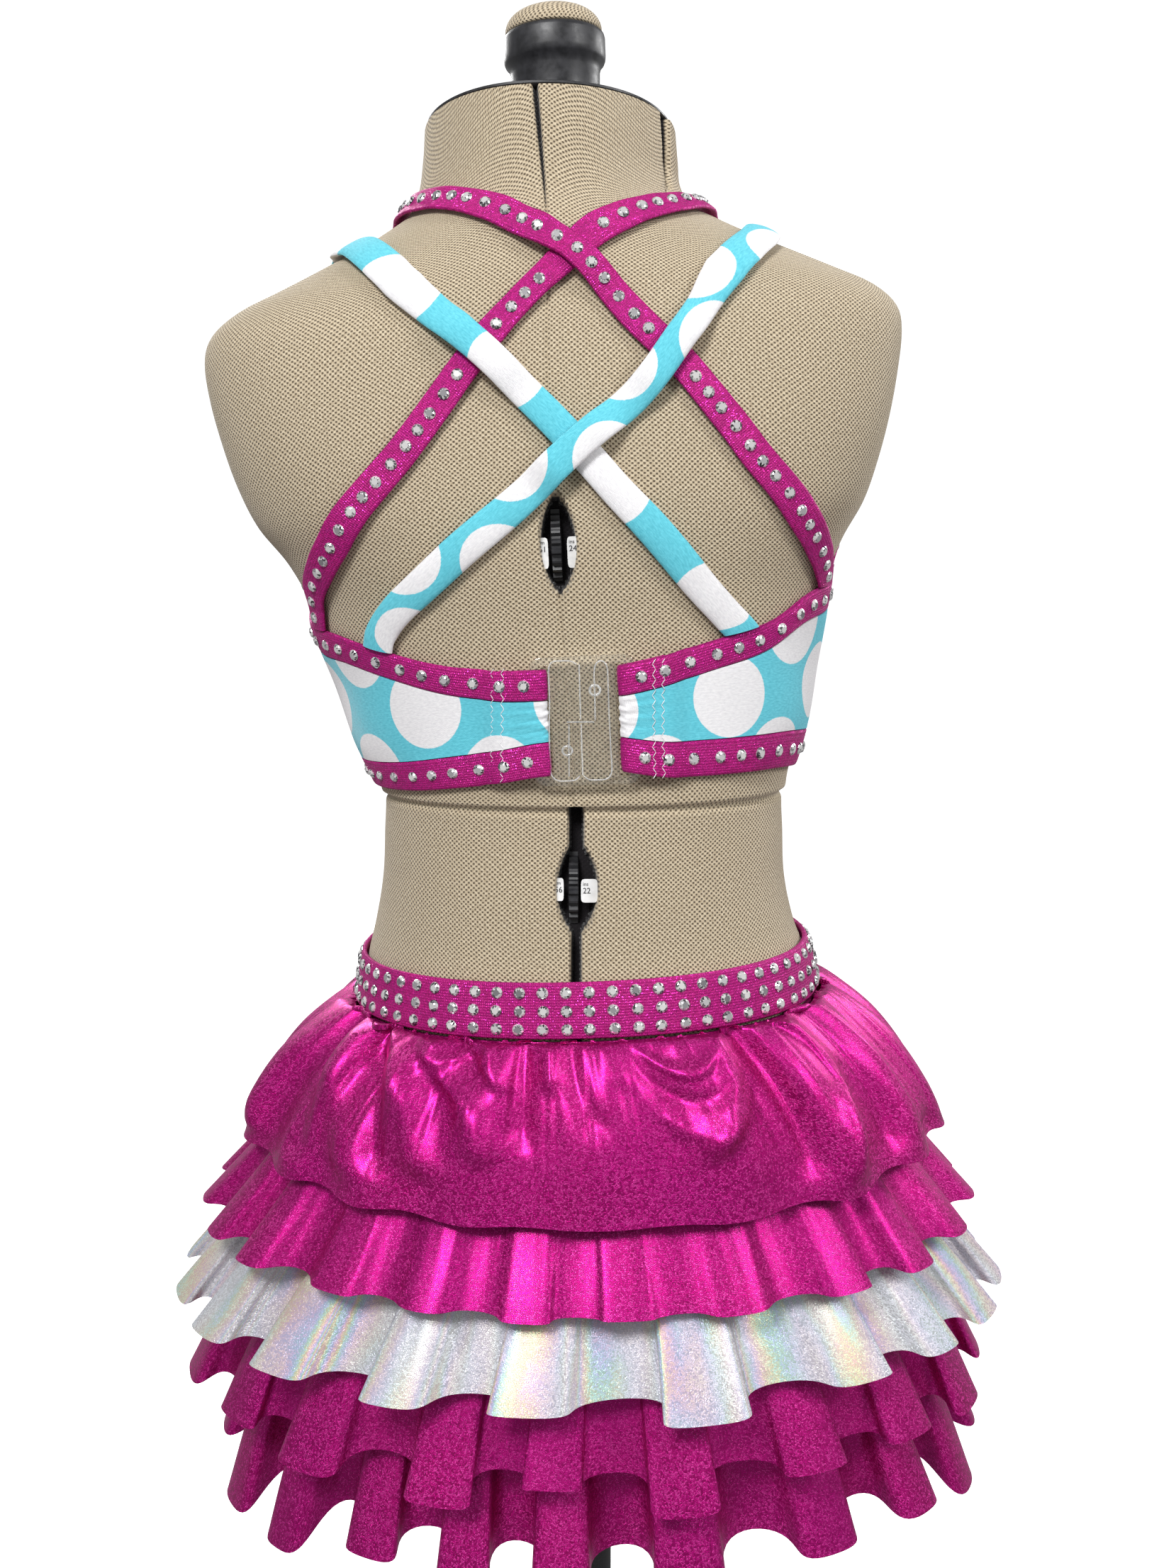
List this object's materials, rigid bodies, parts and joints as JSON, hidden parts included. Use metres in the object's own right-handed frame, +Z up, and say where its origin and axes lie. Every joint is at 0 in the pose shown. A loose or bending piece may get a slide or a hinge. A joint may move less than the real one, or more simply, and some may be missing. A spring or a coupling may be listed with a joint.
{
  "type": "dance costume on dress form",
  "caption": "Child's two-piece dance costume, dotted crop top with crossed straps and a gathered tiered foil skirt, worn by a limbless dress form on a stand.",
  "frame": {"origin": "centre of the stand base's underside, where the object rests on the floor", "axes": "+Z up along the stand pole, the wearer faces -Y, +X is the wearer's left"},
  "size_m": [0.3904, 0.2836, 0.8955],
  "materials": {
    "magenta_foil": "foil-dotted spandex, glossy metallic dots on magenta knit",
    "holographic_foil": "white holographic foil spandex with a pastel rainbow sheen",
    "dotted_jersey": "matte stretch jersey, aqua with large white dots",
    "knit_cover": "coarse beige mesh knit",
    "black_plastic": "satin black moulding",
    "clear_plastic": "clear moulded plastic",
    "stand_metal": "black powder coat"
  },
  "bodies": {
    "root": {"form_body": "knit_cover", "form_neck_plate": "black_plastic", "neck_knob": "black_plastic", "neck_knob_pad": "knit_cover", "stand_base": "stand_metal", "stand_pole": "stand_metal", "front_panel": "dotted_jersey", "back_wing_left": "dotted_jersey", "back_wing_right": "dotted_jersey", "binding_lower_front": "magenta_foil", "binding_armhole_left": "magenta_foil", "binding_armhole_right": "magenta_foil", "binding_neckline": "magenta_foil", "binding_upper_back_left": "magenta_foil", "binding_upper_back_right": "magenta_foil", "binding_lower_back_left": "magenta_foil", "binding_lower_back_right": "magenta_foil", "strap_halter_left": "magenta_foil", "strap_halter_right": "magenta_foil", "strap_cross_left": "dotted_jersey", "strap_cross_right": "dotted_jersey", "clasp_left": "clear_plastic", "clasp_right": "clear_plastic", "waistband": "magenta_foil", "skirt_base": "magenta_foil", "tier_1": "magenta_foil", "tier_2": "magenta_foil", "tier_3": "holographic_foil", "tier_4": "magenta_foil", "tier_5": "magenta_foil"}
  },
  "joints": []
}
